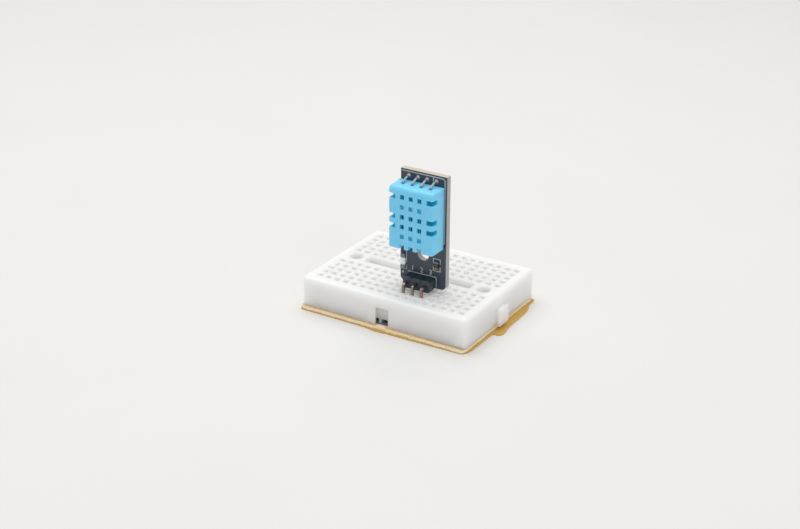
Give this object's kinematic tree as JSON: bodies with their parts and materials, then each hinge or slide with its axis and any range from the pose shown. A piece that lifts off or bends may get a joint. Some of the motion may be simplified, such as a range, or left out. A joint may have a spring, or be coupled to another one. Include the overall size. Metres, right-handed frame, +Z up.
{
  "type": "humidity sensor",
  "caption": "Blue-housed humidity sensor on a small black circuit board, plugged by a three-way bent-pin header into a white tie-point board with foam backing.",
  "frame": {"origin": "centre of the tie-hole grid, on the underside of the release liner", "axes": "+X along the board towards the key on its short side, +Y from the slotted long side to the other, +Z up along the upright circuit board"},
  "size_m": [0.0501, 0.0372, 0.0393],
  "materials": {
    "white_plastic": "satin",
    "blue_plastic": "satin",
    "black_board": "satin solder mask",
    "black_plastic": "matte",
    "green_board": "satin solder mask",
    "tinned_metal": "bright",
    "spring_metal": "satin",
    "solder": "bright",
    "foam": "matte foam",
    "liner": "waxed",
    "element_ceramic": "matte",
    "carbon_print": "matte",
    "epoxy": "gloss",
    "resistor_body": "satin",
    "clear_lens": "clear"
  },
  "bodies": {
    "tie_point_board": {"board_body": "white_plastic", "engaged_clip_1": "spring_metal", "engaged_clip_2": "spring_metal", "engaged_clip_3": "spring_metal", "front_clips_left": "spring_metal", "front_clips_right": "spring_metal", "rear_clips": "spring_metal", "foam_pad": "foam", "release_liner": "liner"},
    "sensor_module": {"circuit_board": "black_board", "sensor_cover": "blue_plastic", "sensor_back_plate": "blue_plastic", "sensing_board": "green_board", "humidity_element": "element_ceramic", "humidity_electrodes": "carbon_print", "thermistor": "epoxy", "signal_chip": "epoxy", "sensor_lead_1": "tinned_metal", "sensor_lead_2": "tinned_metal", "sensor_lead_3": "tinned_metal", "sensor_lead_4": "tinned_metal", "sensor_solder_joints": "solder", "pull_up_resistor": "resistor_body", "resistor_terminals": "tinned_metal", "power_led": "clear_lens", "led_terminals": "tinned_metal", "header_insulator": "black_plastic", "header_pin_1": "tinned_metal", "header_pin_2": "tinned_metal", "header_pin_3": "tinned_metal", "header_solder_joints": "solder"}
  },
  "joints": [
    {"name": "module_unplug", "type": "slide", "parent": "tie_point_board", "child": "sensor_module", "axis": [0, 0, 1], "range_m": [0, 0.006]}
  ]
}
